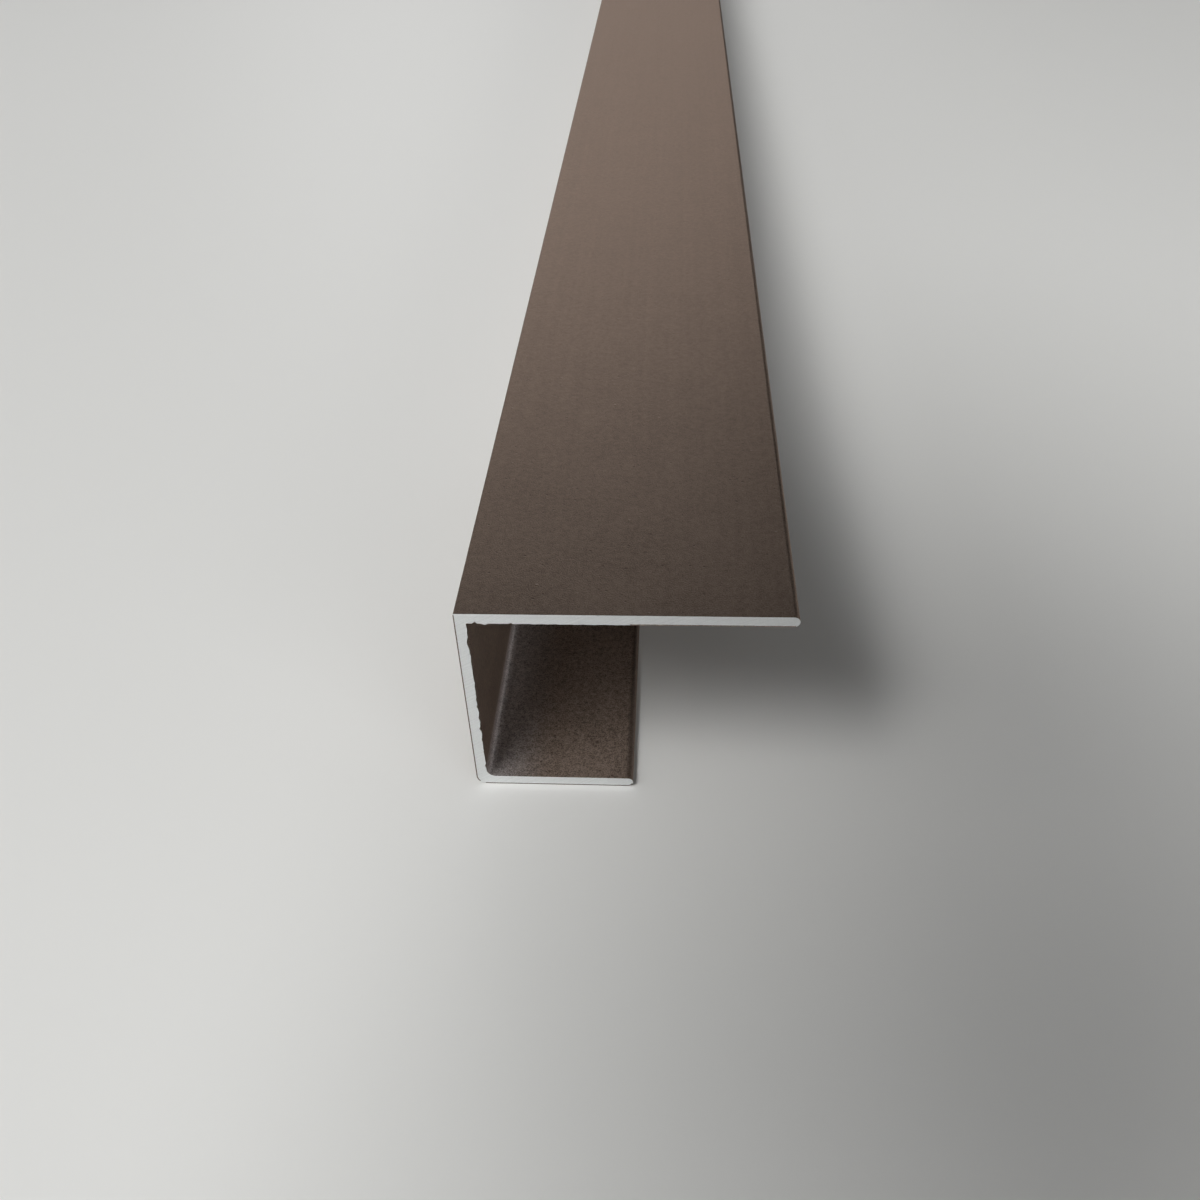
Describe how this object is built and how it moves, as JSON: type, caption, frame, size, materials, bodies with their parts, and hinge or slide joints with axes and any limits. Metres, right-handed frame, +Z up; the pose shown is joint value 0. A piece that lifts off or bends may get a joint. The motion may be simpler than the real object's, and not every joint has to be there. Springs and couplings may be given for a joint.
{
  "type": "aluminium extrusion profile",
  "caption": "J-shaped aluminium edge profile: an upright web, a long top flange and a short bottom flange, which cap the edge of a board.",
  "frame": {"origin": "middle of the length, under the middle of the overall width, on the surface that the short flange lies on", "axes": "+Y along the extrusion, +Z up from the short flange to the long one, +X out of the channel's mouth"},
  "size_m": [0.028, 1, 0.0204],
  "materials": {
    "bronze_aluminium": "matt bronze surface finish, with bare sawn ends"
  },
  "bodies": {
    "root": {"j_channel": "bronze_aluminium"}
  },
  "joints": []
}
